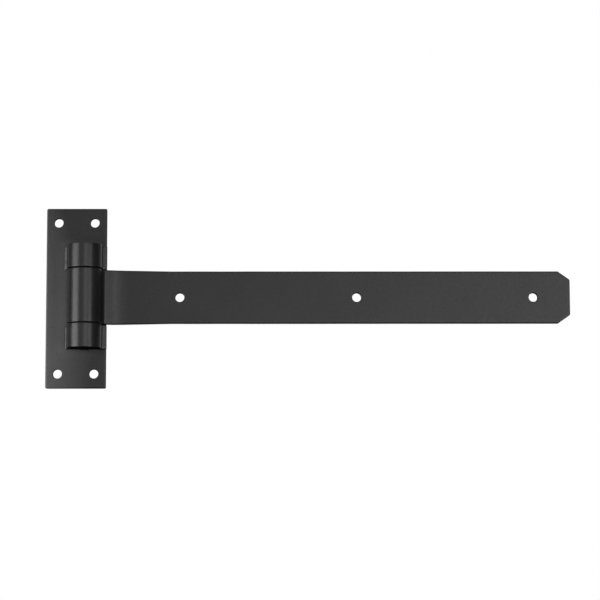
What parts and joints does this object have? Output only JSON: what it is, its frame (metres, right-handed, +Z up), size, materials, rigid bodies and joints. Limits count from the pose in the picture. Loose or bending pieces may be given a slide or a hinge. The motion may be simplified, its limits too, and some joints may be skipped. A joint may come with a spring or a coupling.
{
  "type": "t hinge",
  "caption": "T hinge: a long flat steel strap with a rolled eye turns on a fixed pin between two rolled knuckles welded to an upright mounting plate, for a door or gate",
  "frame": {"origin": "middle of the mounting plate's back face, which is also the middle of its four holes", "axes": "+Z up along the pin, +X along the strap towards its tip, -Y out of the wall towards the viewer. The plate's back lies on y = 0 and the strap's back on y = -4 mm"},
  "size_m": [0.4345, 0.0339, 0.15],
  "materials": {
    "powder_coat": "black satin powder coat on steel, with faint orange peel and slightly rolled-over bright edges",
    "pin_coat": "black powder coat over a steel pin, hammered at the peened ends"
  },
  "bodies": {
    "plate_leaf": {"mounting_plate": "powder_coat", "upper_knuckle": "powder_coat", "lower_knuckle": "powder_coat", "upper_side_weld": "powder_coat", "lower_side_weld": "powder_coat", "upper_foot_weld": "powder_coat", "lower_foot_weld": "powder_coat", "hinge_pin": "pin_coat"},
    "strap_leaf": {"strap": "powder_coat"}
  },
  "joints": [
    {"name": "strap_swing", "type": "hinge", "parent": "plate_leaf", "child": "strap_leaf", "pos_m": [0.008, -0.0195, 0], "axis": [0, 0, -1], "range_deg": [0, 180]}
  ]
}
